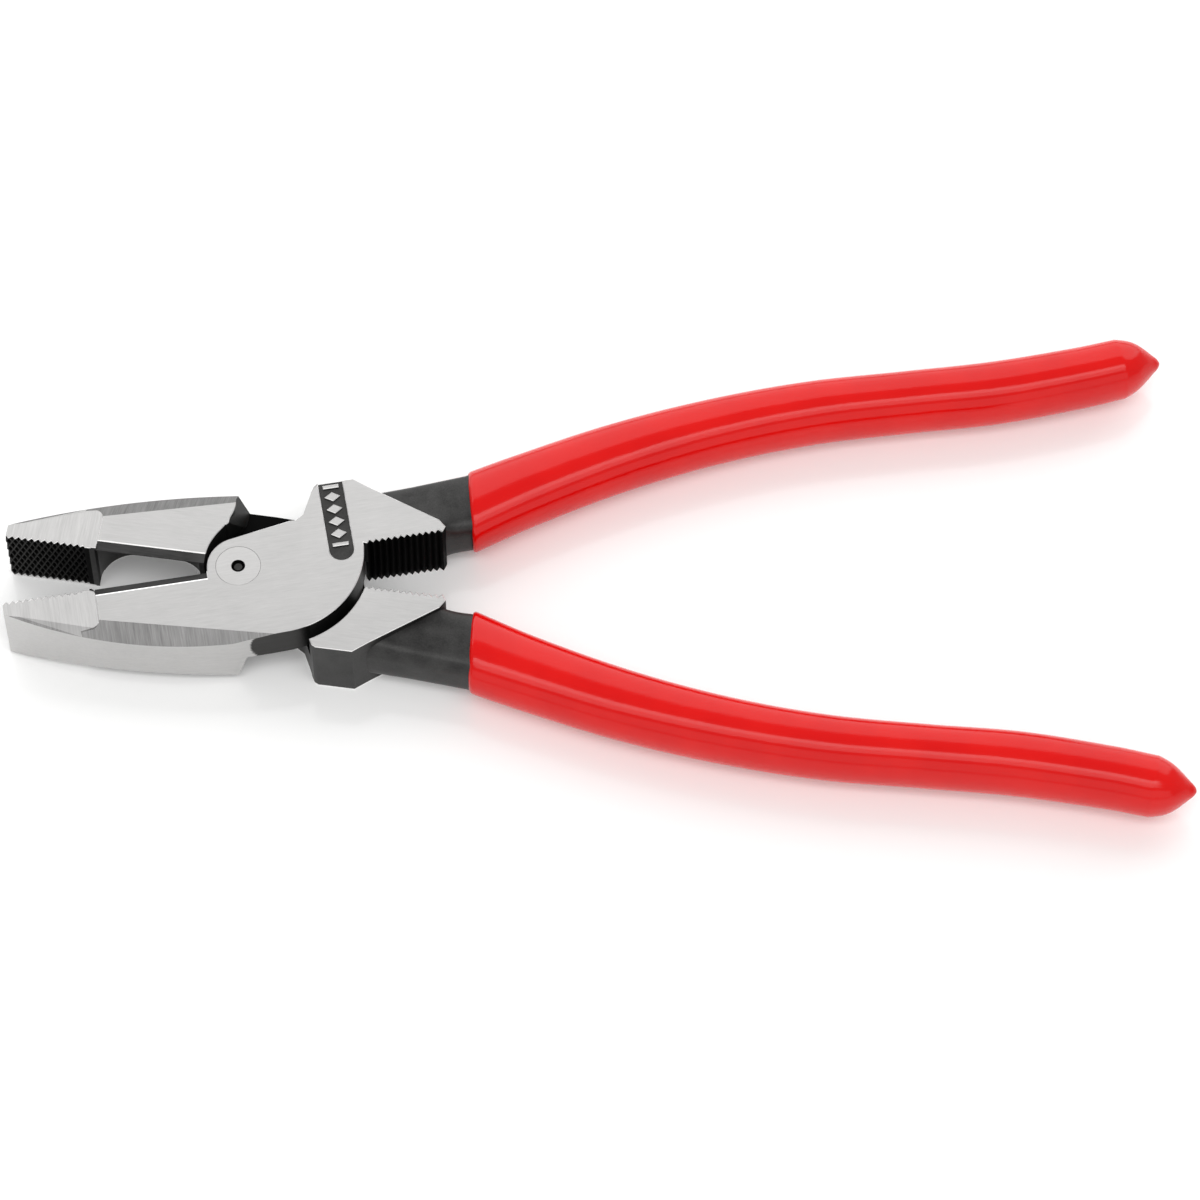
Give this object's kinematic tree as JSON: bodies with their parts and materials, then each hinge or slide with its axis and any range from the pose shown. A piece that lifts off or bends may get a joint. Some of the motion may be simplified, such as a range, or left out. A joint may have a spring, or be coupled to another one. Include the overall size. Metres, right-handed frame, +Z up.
{
  "type": "lineman pliers",
  "caption": "Lineman pliers with flat serrated tips, side cutters, a rear gripping zone behind the flush riveted lap joint, and dipped plastic grips.",
  "frame": {"origin": "on the joint axis, at the underside of the head, which rests on the surface", "axes": "+X from the joint to the handle ends, +Y across the jaws towards the handle of half A, +Z up along the rivet"},
  "size_m": [0.2339, 0.1084, 0.015],
  "materials": {
    "forged_steel": "ground bright faces on black-oxide tool steel",
    "rivet_steel": "ground flush",
    "grip_plastic": "glossy dipped plastic"
  },
  "bodies": {
    "half_a": {"forged_half_a": "forged_steel", "joint_rivet": "rivet_steel", "grip_a": "grip_plastic"},
    "half_b": {"forged_half_b": "forged_steel", "grip_b": "grip_plastic"}
  },
  "joints": [
    {"name": "jaw_pivot", "type": "hinge", "parent": "half_a", "child": "half_b", "pos_m": [0, 0, 0.0075], "axis": [0, 0, 1], "range_deg": [-22, 18]}
  ]
}
